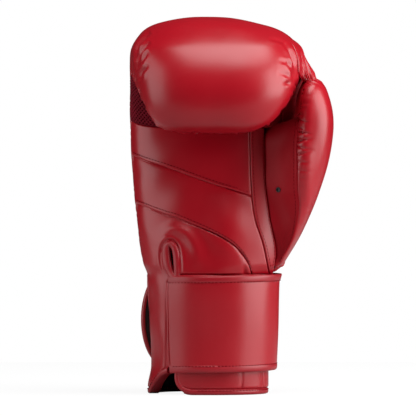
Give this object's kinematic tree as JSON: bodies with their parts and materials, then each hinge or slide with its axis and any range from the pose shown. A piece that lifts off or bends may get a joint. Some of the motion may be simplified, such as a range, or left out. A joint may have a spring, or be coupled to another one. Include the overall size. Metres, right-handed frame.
{
  "type": "boxing glove",
  "caption": "Padded right-hand boxing glove with a curled fist, a sewn-on thumb, a slit cuff with bound edges and a wrist strap that closes with hook and loop.",
  "frame": {"origin": "middle of the cuff's mouth, in the plane of the hem on which the glove stands", "axes": "+Z from the cuff to the knuckles, +X towards the thumb side, -Y out of the palm side, +Y out of the back of the hand"},
  "size_m": [0.1564, 0.1353, 0.2899],
  "materials": {
    "leather_red": "smooth satin polyurethane-coated leather",
    "binding_red": "folded leather tape, satin",
    "mesh_dark_red": "open knitted air mesh, matt",
    "foam": "moulded padding foam, matt",
    "lining_black": "smooth woven lining, matt",
    "hook_tape": "woven tape with nylon hooks",
    "loop_tape": "brushed nylon loop",
    "eyelet_black": "black enamel, gloss"
  },
  "bodies": {
    "glove": {"fist_shell": "leather_red", "fist_foam": "foam", "mitt_underside": "leather_red", "side_panel_index": "leather_red", "side_panel_pinky": "leather_red", "side_vent": "mesh_dark_red", "grip_bar": "foam", "palm_upper": "leather_red", "palm_band": "leather_red", "palm_heel": "leather_red", "palm_pad": "foam", "thumb_gusset": "leather_red", "thumb_web": "leather_red", "thumb_shell": "leather_red", "thumb_inner": "leather_red", "thumb_foam": "foam", "thumb_lock": "leather_red", "thumb_lining": "lining_black", "vent_eyelet": "eyelet_black", "hand_lining": "lining_black", "cuff_cover": "leather_red", "cuff_foam": "foam", "cuff_lining": "lining_black", "hem_binding": "binding_red", "slit_binding": "binding_red", "loop_patch": "loop_tape"},
    "strap_palm": {"strap_palm_cover": "leather_red", "strap_palm_backing": "lining_black", "strap_palm_rims": "binding_red"},
    "strap_side": {"strap_side_cover": "leather_red", "strap_side_backing": "lining_black", "strap_side_rims": "binding_red"},
    "strap_back": {"strap_back_cover": "leather_red", "strap_back_backing": "lining_black", "strap_back_rim": "binding_red", "hook_patch": "hook_tape"}
  },
  "joints": [
    {"name": "strap_palm_lift", "type": "hinge", "parent": "glove", "child": "strap_palm", "pos_m": [-0.04098, -0.03198, 0.0535], "axis": [-0.0004, 0.0105, -0.9999], "range_deg": [0, 40]},
    {"name": "strap_side_swing", "type": "hinge", "parent": "strap_palm", "child": "strap_side", "pos_m": [0.03972, -0.02748, 0.05469], "axis": [-0.0386, 0.0081, -0.9992], "range_deg": [0, 80]},
    {"name": "strap_tab_peel", "type": "hinge", "parent": "strap_side", "child": "strap_back", "pos_m": [0.04026, 0.03018, 0.05567], "axis": [-0.0413, -0.0181, -0.999], "range_deg": [0, 100]}
  ],
  "couplings": [
    {"joint": "strap_palm_lift", "follows": "strap_side_swing", "ratio": 0.5}
  ]
}
